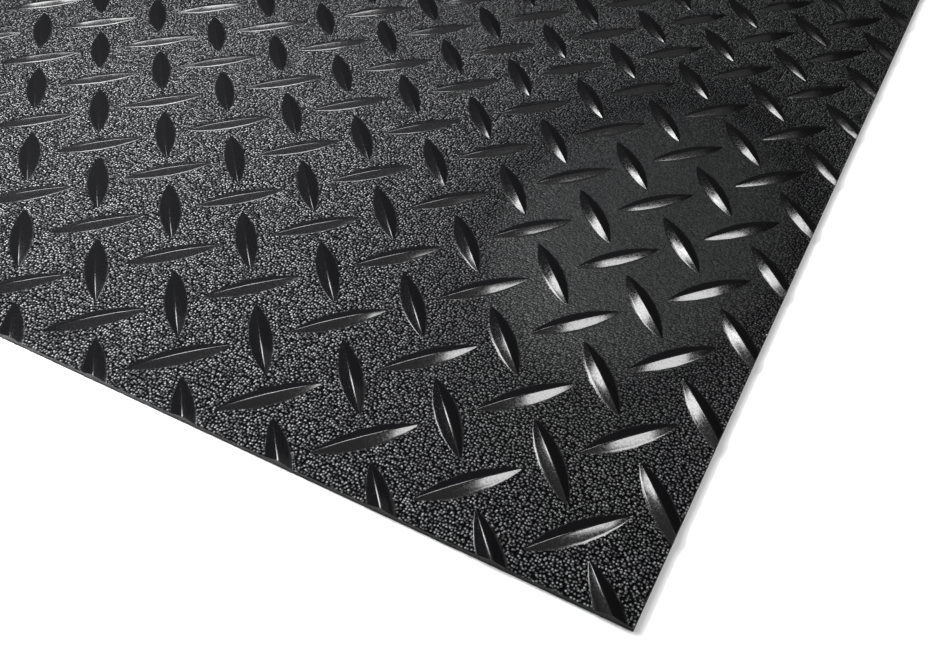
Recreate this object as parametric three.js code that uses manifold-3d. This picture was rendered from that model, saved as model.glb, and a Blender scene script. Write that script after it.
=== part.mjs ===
// A floor mat of flexible black PVC, one flat sheet with lens-shaped treads raised on its upper face.
// The treads stand at 45 degrees to the edges, each one square to its four nearest neighbours.
// The sheet is knife-cut to size from wider stock, so its four edges run straight through the treads.
// Millimetres, +Z up. The origin is the middle of the underside, which lies on the floor.

import * as THREE from "three";
import { ConvexGeometry } from "three/addons/geometries/ConvexGeometry.js";
import { mergeVertices } from "three/addons/utils/BufferGeometryUtils.js";
import Module from "manifold-3d";

const wasm = await Module();
wasm.setup();

// The cut piece, along X and along Y.
const MAT_LENGTH = 600;
const MAT_WIDTH = 400;

// The sheet between the treads.
const SHEET_THICKNESS = 2;

// One tread: tip to tip, across its middle, and its crest above the sheet.
const TREAD_LENGTH = 28.2;
const TREAD_WIDTH = 7.2;
const TREAD_HEIGHT = 1.2;

// The pattern repeats by this much along both edges, with two treads in each repeat.
const PATTERN_PITCH = 30;

// Where the knife met the pattern: the nearest tread's middle, inwards from the right and the front edge.
const TREAD_FROM_RIGHT_EDGE = 6;
const TREAD_FROM_FRONT_EDGE = 0.6;

const RIGHT_EDGE = MAT_LENGTH / 2;
const FRONT_EDGE = -MAT_WIDTH / 2;

// The two treads of a repeat: one turned clockwise in its corner, one turned the other way in its middle.
const REPEAT = [
  { shift: 0, turn: -Math.PI / 4 },
  { shift: PATTERN_PITCH / 2, turn: Math.PI / 4 },
];

const blackPvc = new THREE.MeshStandardMaterial({
  color: 0x1c1d1e,
  roughness: 0.5,
  metalness: 0,
  flatShading: true,
});

// A closed three.js geometry as a solid that can be joined and cut.
function solidOf(geometry) {
  const bare = geometry.clone();
  bare.deleteAttribute("normal");
  bare.deleteAttribute("uv");
  const merged = mergeVertices(bare);
  return new wasm.Manifold(
    new wasm.Mesh({
      numProp: 3,
      vertProperties: merged.attributes.position.array,
      triVerts: new Uint32Array(merged.index.array),
    }),
  );
}

// A solid back as a three.js geometry.
function geometryOf(solid) {
  const mesh = solid.getMesh();
  const geometry = new THREE.BufferGeometry();
  geometry.setAttribute("position", new THREE.BufferAttribute(mesh.vertProperties, mesh.numProp));
  geometry.setIndex(new THREE.BufferAttribute(mesh.triVerts, 1));
  geometry.computeVertexNormals();
  return geometry;
}

// A box that stands on z = 0 over the middle of the mat.
function slab(length, width, height) {
  return new THREE.BoxGeometry(length, width, height).translate(0, 0, height / 2);
}

// One tread along X, over the sheet's upper face at z = 0: a hipped roof whose middle third is straight,
// which covers as much as the lens of two arcs. Below the face it goes on down for half of the sheet.
function treadGeometry() {
  const tip = TREAD_LENGTH / 2;
  const shoulder = TREAD_LENGTH / 6;
  const side = TREAD_WIDTH / 2;
  const root = -SHEET_THICKNESS / 2;
  const points = [];
  for (const end of [-1, 1]) {
    for (const z of [0, root]) {
      points.push(new THREE.Vector3(end * tip, 0, z));
      points.push(new THREE.Vector3(end * shoulder, side, z));
      points.push(new THREE.Vector3(end * shoulder, -side, z));
    }
    points.push(new THREE.Vector3(end * shoulder, 0, TREAD_HEIGHT));
  }
  return new ConvexGeometry(points);
}

// The middle and the turn of every tread that reaches the cut piece.
function treadPlaces() {
  const reach = TREAD_LENGTH / 2;
  const columns = Math.ceil((MAT_LENGTH + reach) / PATTERN_PITCH);
  const rows = Math.ceil((MAT_WIDTH + reach) / PATTERN_PITCH);
  const places = [];
  for (let column = -1; column <= columns; column += 1) {
    for (let row = -1; row <= rows; row += 1) {
      for (const { shift, turn } of REPEAT) {
        const x = RIGHT_EDGE - TREAD_FROM_RIGHT_EDGE - column * PATTERN_PITCH - shift;
        const y = FRONT_EDGE + TREAD_FROM_FRONT_EDGE + row * PATTERN_PITCH + shift;
        const reaches = Math.abs(x) < MAT_LENGTH / 2 + reach && Math.abs(y) < MAT_WIDTH / 2 + reach;
        if (reaches) places.push({ x, y, turn });
      }
    }
  }
  return places;
}

// The stock is larger than the mat all round, gets its treads, and is then cut to size.
function matGeometry() {
  const margin = TREAD_LENGTH;
  const stock = slab(MAT_LENGTH + 2 * margin, MAT_WIDTH + 2 * margin, SHEET_THICKNESS);
  const tread = treadGeometry();
  let solid = solidOf(stock);
  for (const { x, y, turn } of treadPlaces()) {
    const placed = tread.clone().rotateZ(turn).translate(x, y, SHEET_THICKNESS);
    solid = solid.add(solidOf(placed));
  }
  const cut = slab(MAT_LENGTH, MAT_WIDTH, SHEET_THICKNESS + 2 * TREAD_HEIGHT);
  return geometryOf(solid.intersect(solidOf(cut)));
}

const mat = new THREE.Mesh(matGeometry(), blackPvc);
mat.name = "mat_sheet";

const group = new THREE.Group();
group.name = "floor_mat";
group.add(mat);

export default group;
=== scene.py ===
# %% [markdown]
# # A black PVC floor mat with raised treads
#
# The real mat is one sheet of soft PVC. It leaves the calender hot and passes an engraved roller, which
# presses lens-shaped treads up out of it and gives the web between them a fine pebbled grain.
# It is then cut to size with a knife, so its edges run straight through the treads.
#
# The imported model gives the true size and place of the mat. This script puts a finer surface where that
# plain solid is: every tread gets its two arcs, a soft crest and a rounded foot, and the grain is bump.

# %% Load the frame
import math

import bmesh
import bpy
import numpy as np
from mathutils import Matrix, Vector


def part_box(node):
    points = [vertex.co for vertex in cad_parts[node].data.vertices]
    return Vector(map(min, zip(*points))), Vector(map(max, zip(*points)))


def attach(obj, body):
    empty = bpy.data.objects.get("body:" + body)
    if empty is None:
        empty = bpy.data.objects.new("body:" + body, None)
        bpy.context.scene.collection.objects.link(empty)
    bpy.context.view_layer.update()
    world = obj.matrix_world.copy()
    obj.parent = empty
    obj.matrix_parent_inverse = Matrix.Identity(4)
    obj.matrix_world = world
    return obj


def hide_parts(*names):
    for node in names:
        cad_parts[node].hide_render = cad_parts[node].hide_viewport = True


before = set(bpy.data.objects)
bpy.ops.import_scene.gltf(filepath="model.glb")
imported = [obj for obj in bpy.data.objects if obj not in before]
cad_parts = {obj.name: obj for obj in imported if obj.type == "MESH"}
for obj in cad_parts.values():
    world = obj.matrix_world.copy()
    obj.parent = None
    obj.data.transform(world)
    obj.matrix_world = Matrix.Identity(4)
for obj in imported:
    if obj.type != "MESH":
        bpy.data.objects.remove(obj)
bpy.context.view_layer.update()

scene = bpy.context.scene
MM = 0.001
low, high = (np.array(corner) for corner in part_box("mat_sheet"))
length, width, height = high - low
print(f"the mat is {length / MM:.0f} x {width / MM:.0f} x {height / MM:.1f} mm")

# %% [markdown]
# ## The camera
#
# The view is from close by, a hand above the near right corner, and looks down and to the left over
# the mat. The tread pattern is a square lattice, so its perspective fixes the lens, the place and the tilt.
# The lens axis isn't in the middle of the picture, as in any picture that was cropped, and a small shift
# of the camera does the same.

# %% The lens
IMAGE_WIDTH = 941
IMAGE_HEIGHT = 667
FOCAL_LENGTH_PIXELS = 843.9
LENS_AXIS_PIXEL = (595.2, 357.8)
SENSOR_WIDTH_MM = 36

camera_data = bpy.data.cameras.new("camera")
camera_data.sensor_width = SENSOR_WIDTH_MM
camera_data.lens = FOCAL_LENGTH_PIXELS / IMAGE_WIDTH * SENSOR_WIDTH_MM
camera_data.shift_x = (IMAGE_WIDTH / 2 - LENS_AXIS_PIXEL[0]) / IMAGE_WIDTH
camera_data.shift_y = (LENS_AXIS_PIXEL[1] - IMAGE_HEIGHT / 2) / IMAGE_WIDTH
camera_data.clip_start = 0.01
print(f"lens {camera_data.lens:.1f} mm, shift {camera_data.shift_x:.3f}, {camera_data.shift_y:.3f}")

# %% The camera's place and direction
CAMERA_FROM_CORNER = Vector((17.5, -73.3, 180.5)) * MM
heading = math.radians(22.52)
down_tilt = math.radians(49.77)
roll = math.radians(3.37)

near_corner = Vector((high[0], low[1], low[2]))
look = Vector((-math.sin(heading) * math.cos(down_tilt), math.cos(heading) * math.cos(down_tilt),
               -math.sin(down_tilt)))
camera = bpy.data.objects.new("camera", camera_data)
camera.location = near_corner + CAMERA_FROM_CORNER
camera.rotation_mode = "QUATERNION"
camera.rotation_quaternion = look.to_track_quat("-Z", "Y") @ Matrix.Rotation(roll, 3, "Z").to_quaternion()
scene.collection.objects.link(camera)
scene.camera = camera
print(f"the camera is {CAMERA_FROM_CORNER.length / MM:.0f} mm from the mat's near corner")

# %% [markdown]
# ## One tread and its share of the sheet
#
# The plane could be covered by a fine even grid, but then most faces would lie on the flat web and the
# lens outlines would still be jagged. Here each tread gets a tile of its own. The tiles are squares whose
# sides bend: they swell out past the tread's tips and draw in beside its middle, so that every tile fits
# its four neighbours, which are turned by a right angle. All lines of the tile's grid follow the lens.
#
# The view is so close that a single tread is a hundred pixels long, so a tile has about a hundred faces.

# %% The sizes of a tread
PITCH = 30 * MM
TREAD_LENGTH = 28.2 * MM
TREAD_WIDTH = 7.2 * MM
TREAD_HEIGHT = 1.2 * MM
sheet_top = high[2] - TREAD_HEIGHT
print(f"the sheet is {(sheet_top - low[2]) / MM:.1f} mm thick between its treads")

# %% The lens outline and the section of a tread
CREST_SOFTNESS = 0.06
FOOT_START = 0.68
FOOT_END = 1.04


def lens_half_width(along):
    """Half the tread's width where along runs from -1 at one tip to 1 at the other: an arc of a circle
    through both tips, less the distance from the circle's centre to the line of the tips."""
    half_length = TREAD_LENGTH / 2
    rise = TREAD_WIDTH / 2
    radius = (half_length ** 2 + rise ** 2) / (2 * rise)
    return np.sqrt(radius ** 2 - (along * half_length) ** 2) - (radius - rise)


def section(across):
    """Height over the sheet as a share of the crest's, where across is 0 at the crest and 1 at the lens's
    outline: a hyperbola, which is a straight flank with a soft crest, then a parabola that ends level."""
    drop = np.sqrt(across ** 2 + CREST_SOFTNESS ** 2) - CREST_SOFTNESS
    foot_drop = math.hypot(FOOT_START, CREST_SOFTNESS) - CREST_SOFTNESS
    foot_height = FOOT_START / math.hypot(FOOT_START, CREST_SOFTNESS) * (FOOT_END - FOOT_START) / 2
    flank = foot_drop + foot_height - drop
    foot = foot_height * ((FOOT_END - across) / (FOOT_END - FOOT_START)) ** 2
    return np.where(across < FOOT_START, flank, foot) / (foot_drop + foot_height)


flank_middle = TREAD_HEIGHT * section(np.array(0.5))
print(f"half way down its flank a tread still stands {flank_middle / MM:.2f} mm above the sheet")

# %% The outline of a tile
half_tile = PITCH / math.sqrt(8)
swell = (TREAD_LENGTH - TREAD_WIDTH) / 4


def tile_rim(around):
    """The tile's outline from its left end over the top to its right end, around running from -2 to 2:
    half of a square's outline, with each side pushed out or in by a parabola."""
    x = np.clip(around, -1, 1)
    y = np.clip(2 - np.abs(around), 0, 1)
    out = swell * (1 - y ** 2) * np.sign(x)
    into = swell * (1 - x ** 2)
    return x * half_tile + out, y * half_tile - into


print(f"a tile's sides bend by {swell / MM:.2f} mm")

# %% The tile as a grid
# Columns run across the tread and crowd towards its tips, as the sine of even steps. Rows run along it, from
# the rim on one side over the crest to the rim on the other.
COLUMNS = 8
FINISH_START = 0.86
step = np.linspace(-1, 1, COLUMNS + 1)
along = np.sin(step * math.pi / 2)
half_width = lens_half_width(along)
rim_x, rim_y = tile_rim(2 * step)
flank_rows = np.array([0, 0.1, FOOT_START, 0.77, FINISH_START, 0.95, FOOT_END])

crest_height = TREAD_HEIGHT * half_width / half_width.max()
upper_x = [along * TREAD_LENGTH / 2 for _ in flank_rows] + [rim_x]
upper_y = [half_width * across for across in flank_rows] + [rim_y]
upper_z = [crest_height * section(across) for across in flank_rows] + [0 * along]
upper = np.stack([upper_x, upper_y, upper_z], axis=-1)
lower = upper[:0:-1] * np.array([1, -1, 1])
tile = np.concatenate([lower, upper])
rows = len(tile)
tile_reach = tile[..., 0].max()
print(f"one tile has {(rows - 1) * COLUMNS} faces and reaches {tile_reach / MM:.2f} mm along the tread")

# %% The share of grain on a tile
# It is nothing on the polished tread, grows over its foot and is whole on the web.
upper_share = np.concatenate([np.interp(flank_rows, (FINISH_START, FOOT_END), (0, 1)), [1]])
row_share = np.concatenate([upper_share[:0:-1], upper_share])
tile_share = np.maximum(row_share[:, None], np.abs(step) == 1)
print(f"{(tile_share == 0).mean():.0%} of a tile's points have no grain")

# %% [markdown]
# ## All the tiles
#
# The knife met the pattern with the nearest tread 6 mm in from the right edge and 0.6 mm in from the front
# edge. Treads at the corners of each 30 mm square slant one way and those in the middles the other way.
# Every tile that reaches the mat is placed at once, as one array, and the neighbours' rims are merged.

# %% The middle and the turn of every tread
FIRST_TREAD = np.array([6.0, 0.6]) * MM
steps_x = np.arange(-2, length / PITCH + 2)
steps_y = np.arange(-2, width / PITCH + 2)
grid = np.stack(np.meshgrid(steps_x, steps_y, indexing="ij"), axis=-1).reshape(-1, 2)
centres = np.concatenate([grid, grid + 0.5]) * PITCH + FIRST_TREAD
centres = np.array([high[0], low[1]]) + centres * np.array([-1, 1])
turns = np.repeat([-math.pi / 4, math.pi / 4], len(grid))
reach = half_tile + swell
wanted = (np.abs(centres[:, 0]) < high[0] + reach) & (np.abs(centres[:, 1]) < high[1] + reach)
centres, turns = centres[wanted], turns[wanted]
print(f"{len(centres)} treads reach the mat")

# %% All the points and faces
cos, sin = np.cos(turns)[:, None, None], np.sin(turns)[:, None, None]
x = centres[:, 0, None, None] + cos * tile[..., 0] - sin * tile[..., 1]
y = centres[:, 1, None, None] + sin * tile[..., 0] + cos * tile[..., 1]
z = sheet_top + tile[..., 2] + 0 * x
points = np.stack([x, y, z], axis=-1).reshape(-1, 3)

number = np.arange(rows * (COLUMNS + 1)).reshape(rows, COLUMNS + 1)
quad = np.stack([number[:-1, :-1], number[:-1, 1:], number[1:, 1:], number[1:, :-1]], axis=-1)
quads = (np.arange(len(centres))[:, None, None, None] * number.size + quad).reshape(-1, 4)

mesh = bpy.data.meshes.new("mat")
mesh.from_pydata(points, [], quads)
grain_share = mesh.attributes.new("grain_share", "FLOAT", "POINT")
grain_share.data.foreach_set("value", np.tile(tile_share.ravel(), len(centres)).astype(np.float32))
print(f"{len(quads)} faces before the cut")

# %% [markdown]
# ## Cut to size
#
# The knife leaves square, plain sides that show each cut tread's section. A solid could be cut out with a
# Boolean modifier, but a flat cut needs no more than a plane. Four planes cut the surface, the open rim is
# drawn down to the floor, and one flat face closes the underside.

# %% Cut the four sides
WELD = 0.002 * MM
bm = bmesh.new()
bm.from_mesh(mesh)
bmesh.ops.remove_doubles(bm, verts=bm.verts, dist=WELD)
for corner, outwards in ((low, (-1, 0, 0)), (low, (0, -1, 0)), (high, (1, 0, 0)), (high, (0, 1, 0))):
    everything = bm.verts[:] + bm.edges[:] + bm.faces[:]
    bmesh.ops.bisect_plane(bm, geom=everything, dist=WELD, plane_co=corner, plane_no=outwards,
                           clear_outer=True)
rim = [edge for edge in bm.edges if edge.is_boundary]
print(f"the knife made {len(rim)} edges")

# %% Draw the sides down and close the underside
# The materials are added below in the order upper face, cut, back.
CUT, BACK = 1, 2
sides = bmesh.ops.extrude_edge_only(bm, edges=rim)["geom"]
bottom_points = [part for part in sides if isinstance(part, bmesh.types.BMVert)]
bottom_edges = [part for part in sides if isinstance(part, bmesh.types.BMEdge)]
bmesh.ops.scale(bm, verts=bottom_points, vec=(1, 1, 0))
for face in (part for part in sides if isinstance(part, bmesh.types.BMFace)):
    face.material_index = CUT
bmesh.ops.edgeloop_fill(bm, edges=bottom_edges, mat_nr=BACK)
bmesh.ops.recalc_face_normals(bm, faces=bm.faces)
open_edges = sum(not edge.is_manifold for edge in bm.edges)
bm.to_mesh(mesh)
bm.free()

# %% The mat as an object
SHARP_ANGLE = math.radians(50)
mesh.shade_smooth()
mesh.set_sharp_from_angle(angle=SHARP_ANGLE)
mat = bpy.data.objects.new("embossed_mat", mesh)
scene.collection.objects.link(mat)
mesh.calc_loop_triangles()
print(f"the mat has {len(mesh.loop_triangles)} triangles and {open_edges} open edges")

# %% [markdown]
# ## Helpers for the finishes
#
# Colours are written as they look on a screen, in sRGB hex, and Blender wants them linear.

# %% Colour and node helpers


def linear(hex_colour):
    """An sRGB hex colour as linear RGBA: the standard's power curve, with its straight foot."""
    value = np.array([int(hex_colour[i:i + 2], 16) for i in (1, 3, 5)]) / 255
    curve = np.where(value <= 0.04045, value / 12.92, ((value + 0.055) / 1.055) ** 2.4)
    return (*curve, 1.0)


def new_material(name):
    """A material and its shader: the one node that Blender puts into a new material."""
    material = bpy.data.materials.new(name)
    material.use_nodes = True
    print(f"material {name}")
    return material, material.node_tree.nodes["Principled BSDF"]


def add(material, kind, links=(), **settings):
    """A node with its settings. Each link is an input and the output that feeds it. A setting is a
    property of the node or, where it has none of that name, the value of an input."""
    node = material.node_tree.nodes.new(kind)
    for key, value in settings.items():
        if key in node.bl_rna.properties:
            setattr(node, key, value)
        else:
            node.inputs[key.replace("_", " ")].default_value = value
    for name, output in links:
        material.node_tree.links.new(output, node.inputs[name])
    return node


def join(material, output, socket):
    """A link from one node's output to a socket."""
    material.node_tree.links.new(output, socket)


print(f"the middle grey of a screen is {linear('#808080')[0]:.2f} in linear light")

# %% [markdown]
# ## The upper face: embossed soft PVC
#
# Soft PVC is a black, slightly oily plastic, here pressed against a steel roller. The roller's hollows for
# the treads are polished, so the treads come out smooth, nearly black, and with clear reflections. Between
# them the roller is etched, and its grain breaks the gloss into fine sparks.
#
# The grain could be real geometry, but it would take millions of faces, and it is less than a millimetre
# across. So it is bump. It runs out on each tread's foot, where the share of grain that the points carry
# falls to nothing. It is also worn to a smoother patch near the middle of the view.

# %% Where the grain lies
SMOOTH_FROM_RIGHT_EDGE = 50 * MM
SMOOTH_FROM_FRONT_EDGE = 125 * MM
SMOOTH_STRETCH = (1, 0.65, 0)
SMOOTH_CORE = 20 * MM
SMOOTH_REACH = 85 * MM
LEAST_GRAIN = 0.2

embossed, shader = new_material("embossed_soft_pvc")
shader.inputs["IOR"].default_value = 1.53
place = add(embossed, "ShaderNodeTexCoord").outputs["Object"]
share = add(embossed, "ShaderNodeAttribute", attribute_name="grain_share").outputs["Fac"]
offset = add(embossed, "ShaderNodeVectorMath", [(0, place)], operation="SUBTRACT")
offset.inputs[1].default_value = (high[0] - SMOOTH_FROM_RIGHT_EDGE, low[1] + SMOOTH_FROM_FRONT_EDGE, 0)
ellipse = add(embossed, "ShaderNodeVectorMath", [(0, offset.outputs["Vector"])], operation="MULTIPLY")
ellipse.inputs[1].default_value = SMOOTH_STRETCH
from_patch = add(embossed, "ShaderNodeVectorMath", [(0, ellipse.outputs["Vector"])], operation="LENGTH")
patch = add(embossed, "ShaderNodeMapRange", [("Value", from_patch.outputs["Value"])], From_Min=SMOOTH_CORE,
            From_Max=SMOOTH_REACH, To_Min=LEAST_GRAIN, To_Max=1.0, interpolation_type="SMOOTHSTEP")
depth = add(embossed, "ShaderNodeMath", [(0, share), (1, patch.outputs["Result"])], operation="MULTIPLY")

# %% [markdown]
# ## The grain's relief
#
# A Voronoi cell makes each pebble: the square of the distance from its middle is a dome's section. A
# noise twice as broad lifts some pebbles over others. A plain noise would look like orange peel, without
# the pebbles' clear rims.

# %% The pebbles
PEBBLE = 0.85 * MM
DOME = 0.45 * MM
pebbles = add(embossed, "ShaderNodeTexVoronoi", [("Vector", place)], voronoi_dimensions="2D",
              Scale=1 / PEBBLE, Randomness=0.75)
radius = pebbles.outputs["Distance"]
dome = add(embossed, "ShaderNodeMath", [(0, radius), (1, radius)], operation="MULTIPLY")
lumps = add(embossed, "ShaderNodeTexNoise", [("Vector", place)], noise_dimensions="2D",
            Scale=0.5 / PEBBLE, Detail=3)
relief = add(embossed, "ShaderNodeMath", [(0, lumps.outputs["Fac"]), (1, dome.outputs["Value"])],
             operation="SUBTRACT")
grain = add(embossed, "ShaderNodeBump", [("Height", relief.outputs["Value"]),
                                         ("Strength", depth.outputs["Value"])], Distance=DOME)
join(embossed, grain.outputs["Normal"], shader.inputs["Normal"])
print(f"about {length * width / PEBBLE ** 2:.0f} pebbles on the mat")

# %% [markdown]
# ## Gloss and smudges
#
# No light gets into the hollows between the pebbles, so their gloss is turned down here and their colour
# darkened below: painted shade. The treads are as smooth as the polished roller, but handling leaves a fine
# film on them, which makes their highlights mottled.

# %% Gloss in the hollows and on the treads
DUST = 0.6 * MM
HOLLOW_START, HOLLOW_END = 0.05, 0.42
# Painted shade: a mask of the hollows between the pebbles, which turns their gloss down here and darkens
# their colour below.
hollow = add(embossed, "ShaderNodeMapRange", [("Value", radius)], From_Min=HOLLOW_START, From_Max=HOLLOW_END)
doubled = add(embossed, "ShaderNodeMath", [(0, depth.outputs["Value"]), (1, depth.outputs["Value"])],
              operation="ADD", use_clamp=True)
shadow = add(embossed, "ShaderNodeMath", [(0, hollow.outputs["Result"]), (1, doubled.outputs["Value"])],
             operation="MULTIPLY")
gloss = add(embossed, "ShaderNodeMapRange", [("Value", shadow.outputs["Value"])], To_Min=0.5, To_Max=0.03)
join(embossed, gloss.outputs["Result"], shader.inputs["Specular IOR Level"])

dust = add(embossed, "ShaderNodeTexNoise", [("Vector", place)], Scale=1 / DUST, Detail=4)
dusty = add(embossed, "ShaderNodeMapRange", [("Value", dust.outputs["Fac"])], From_Min=0.35, From_Max=0.65)
smudge = add(embossed, "ShaderNodeMapRange", [("Value", dusty.outputs["Result"])], To_Min=0.08, To_Max=0.2)
roughness = add(embossed, "ShaderNodeMix", [("Factor", share), ("A", smudge.outputs["Result"])], B=0.3)
join(embossed, roughness.outputs["Result"], shader.inputs["Roughness"])

# %% [markdown]
# ## The colour of the upper face
#
# The plastic is coloured with soot and nearly black all through. The tops of the pebbles are rubbed paler,
# each by its own chance: a Voronoi cell's random value, squared, so that few are bright and most are dark.
# The paleness is partly wear and partly painted sparkle, a painted highlight on each pebble's top. The
# hollows between the pebbles are darkened towards near black: painted shade.

# %% Rubbed pebbles with painted sparkle and painted shade in their hollows, over dark plastic
luck = add(embossed, "ShaderNodeSeparateColor", [("Color", pebbles.outputs["Color"])])
# Partly wear, partly painted sparkle: a random paleness on each pebble's top.
bright = add(embossed, "ShaderNodeMath", [(0, luck.outputs["Red"]), (1, depth.outputs["Value"])],
             operation="MULTIPLY")
wear_and_painted_sparkle = add(embossed, "ShaderNodeMath", [(0, bright.outputs["Value"]), (1, bright.outputs["Value"])],
             operation="MULTIPLY")
film = add(embossed, "ShaderNodeMix", [("Factor", dusty.outputs["Result"])], data_type="RGBA")
film.inputs["A"].default_value = linear("#0e0e0f")
film.inputs["B"].default_value = linear("#232424")
pale = add(embossed, "ShaderNodeMix", [("Factor", wear_and_painted_sparkle.outputs["Value"]), ("A", film.outputs["Result"])],
           data_type="RGBA")
pale.inputs["B"].default_value = linear("#707172")
tone = add(embossed, "ShaderNodeMix", [("Factor", share), ("B", pale.outputs["Result"])], data_type="RGBA")
tone.inputs["A"].default_value = linear("#070708")
# Painted shade: the hollows between the pebbles are darkened towards near black.
shade = add(embossed, "ShaderNodeMix", [("Factor", shadow.outputs["Value"]), ("A", tone.outputs["Result"])],
            data_type="RGBA")
shade.inputs["B"].default_value = linear("#060607")
join(embossed, shade.outputs["Result"], shader.inputs["Base Color"])

# %% [markdown]
# ## The cut sides and the back
#
# A knife drags at soft PVC, so the cut is dull, with faint marks about as long as the sheet is thick. It
# gives the eye a plain dark line under the glossy face. The back ran over a smooth drum and cooled in the
# air: it is even, matt and a little paler, with a cloudy bloom.

# %% The knife-cut sides
DRAG_MARK = 0.8 * MM
FAINT_RELIEF = 0.05 * MM
cut, shader = new_material("knife_cut_pvc")
shader.inputs["Roughness"].default_value = 0.7
shader.inputs["Specular IOR Level"].default_value = 0.15
cut_place = add(cut, "ShaderNodeTexCoord").outputs["Object"]
drag = add(cut, "ShaderNodeTexNoise", [("Vector", cut_place)], Scale=1 / DRAG_MARK, Detail=3)
streak = add(cut, "ShaderNodeMix", [("Factor", drag.outputs["Fac"])], data_type="RGBA")
streak.inputs["A"].default_value = linear("#070708")
streak.inputs["B"].default_value = linear("#151516")
join(cut, streak.outputs["Result"], shader.inputs["Base Color"])
marks = add(cut, "ShaderNodeBump", [("Height", drag.outputs["Fac"])], Distance=FAINT_RELIEF)
join(cut, marks.outputs["Normal"], shader.inputs["Normal"])

# %% The plain back
BACK_BLOOM = 1.5 * MM
back, shader = new_material("plain_back_pvc")
shader.inputs["Roughness"].default_value = 0.6
back_place = add(back, "ShaderNodeTexCoord").outputs["Object"]
bloom = add(back, "ShaderNodeTexNoise", [("Vector", back_place)], Scale=1 / BACK_BLOOM, Detail=4)
cloud = add(back, "ShaderNodeMix", [("Factor", bloom.outputs["Fac"])], data_type="RGBA")
cloud.inputs["A"].default_value = linear("#131314")
cloud.inputs["B"].default_value = linear("#242425")
join(back, cloud.outputs["Result"], shader.inputs["Base Color"])
matt = add(back, "ShaderNodeBump", [("Height", bloom.outputs["Fac"])], Distance=FAINT_RELIEF)
join(back, matt.outputs["Normal"], shader.inputs["Normal"])

# %% Dress the mat and fit it to the frame
for finish_material in (embossed, cut, back):
    mesh.materials.append(finish_material)
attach(mat, "root")
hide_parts("mat_sheet")
print(f"the mat has {len(mesh.materials)} materials")

# %% [markdown]
# ## The floor
#
# The mat lies on a plain floor with matt white paint, put on with a roller, whose stipple is just
# visible from close by. It lies a hair below the mat, so that no two faces share one plane.

# %% The floor
FLOOR_SIZE = 8
FLOOR_GAP = 0.02 * MM
ROLLER_STIPPLE = 3 * MM
half = FLOOR_SIZE / 2
floor_z = low[2] - FLOOR_GAP
floor_mesh = bpy.data.meshes.new("floor")
floor_mesh.from_pydata([(-half, -half, floor_z), (half, -half, floor_z), (half, half, floor_z),
                        (-half, half, floor_z)], [], [(0, 1, 2, 3)])
floor = bpy.data.objects.new("floor", floor_mesh)
scene.collection.objects.link(floor)

paint, shader = new_material("matt_white_floor")
shader.inputs["Roughness"].default_value = 0.9
floor_place = add(paint, "ShaderNodeTexCoord").outputs["Object"]
roller = add(paint, "ShaderNodeTexNoise", [("Vector", floor_place)], Scale=1 / ROLLER_STIPPLE, Detail=3)
coat = add(paint, "ShaderNodeMix", [("Factor", roller.outputs["Fac"])], data_type="RGBA")
coat.inputs["A"].default_value = linear("#f3f3f3")
coat.inputs["B"].default_value = linear("#f9f9f9")
join(paint, coat.outputs["Result"], shader.inputs["Base Color"])
floor_mesh.materials.append(paint)
print(f"the floor is {FLOOR_SIZE} m wide")

# %% [markdown]
# ## The light
#
# Polished treads are small mirrors, so each softbox stands where one kind of flank mirrors it towards the
# camera. The overhead one lights the near flanks of the treads that lie across the view. The two at the
# back left light the lower half of those that point at the camera. A large dim scrim keeps the web from
# going black, and a small panel close over the mat makes the left side brighter. That one lights only the
# grain and shows in no reflection.

# %% The softboxes
aim = Vector((high[0] - 90 * MM, low[1] + 120 * MM, 0))
left_place = Vector((high[0] - 255 * MM, low[1] + 75 * MM, 0))


def softbox(name, azimuth, elevation, distance, size, radiance, target=aim):
    """A panel that faces its target. The azimuth is in degrees from +Y towards +X. Its power is pi times
    its area times the radiance, as for any even, matt panel."""
    turn, rise = math.radians(azimuth), math.radians(elevation)
    towards = Vector((math.sin(turn) * math.cos(rise), math.cos(turn) * math.cos(rise), math.sin(rise)))
    data = bpy.data.lights.new(name, "AREA")
    data.shape = "RECTANGLE"
    data.size, data.size_y = size
    data.energy = math.pi * size[0] * size[1] * radiance
    lamp = bpy.data.objects.new(name, data)
    lamp.location = target + towards * distance
    lamp.rotation_mode = "QUATERNION"
    lamp.rotation_quaternion = towards.to_track_quat("Z", "Y")
    scene.collection.objects.link(lamp)
    print(f"{name}: {data.energy:.1f} W")
    return lamp


softbox("overhead_softbox", 56, 73, 4.0, (1.3, 1.2), 14)
softbox("back_left_softbox", -66, 52, 4.0, (0.95, 0.75), 17)
softbox("back_softbox", -48, 57, 4.0, (0.85, 0.7), 15)
softbox("ceiling_scrim", -40, 80, 2.5, (3.0, 3.0), 0.3)
left_fill = softbox("left_fill", 0, 90, 0.16, (0.2, 0.2), 27, left_place)
left_fill.visible_camera = False
left_fill.visible_glossy = False

# %% [markdown]
# ## The room and the picture's tones
#
# The room around the floor is dark grey, so that the flanks turned away from the lamps stay nearly black.
# The Standard view shows the floor as pure white, which the softer default view wouldn't.

# %% The room
ROOM_GREY = 0.03
world = bpy.data.worlds.new("studio")
world.use_nodes = True
world.node_tree.nodes["Background"].inputs["Color"].default_value = (ROOM_GREY, ROOM_GREY, ROOM_GREY, 1)
scene.world = world
scene.view_settings.view_transform = "Standard"
print(f"the room's light is {ROOM_GREY}")
